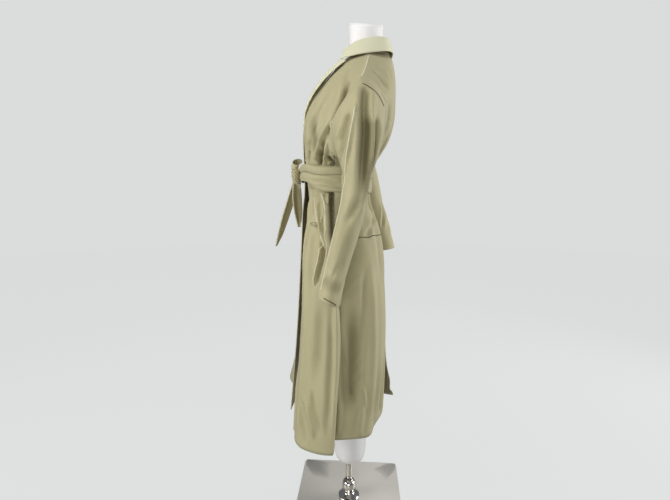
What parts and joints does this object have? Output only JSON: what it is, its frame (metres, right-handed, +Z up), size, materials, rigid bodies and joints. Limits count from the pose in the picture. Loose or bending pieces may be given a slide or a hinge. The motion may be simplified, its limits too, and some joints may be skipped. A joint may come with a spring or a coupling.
{
  "type": "trench coat on dress form",
  "caption": "Long belted trench coat in olive twill hanging open below the waist on a limbless white dress form with a pole and a square steel base.",
  "frame": {"origin": "centre of the base plate's underside, where the stand rests on the floor", "axes": "+X to the wearer's left, -Y to the front of the coat, +Y to its back, +Z up"},
  "size_m": [0.6177, 0.4029, 1.446],
  "materials": {
    "twill": "olive cotton twill with a faint sheen",
    "twill_light": "the same twill where it catches the light",
    "form_white": "smooth satin white",
    "chrome": "polished",
    "steel": "brushed"
  },
  "bodies": {
    "root": {"front_left": "twill", "front_right": "twill", "back_left": "twill", "back_right": "twill", "sleeve_left": "twill", "sleeve_right": "twill", "collar": "twill_light", "lapel_left": "twill_light", "lapel_right": "twill_light", "belt_lower": "twill", "belt_upper": "twill", "belt_knot": "twill", "belt_loop": "twill", "belt_tail_long": "twill", "belt_tail_short": "twill", "belt_carrier_left": "twill", "belt_carrier_right": "twill", "pocket_left": "twill", "pocket_right": "twill", "form_body": "form_white", "pole": "chrome", "pole_hub": "chrome", "base_plate": "steel"}
  },
  "joints": []
}
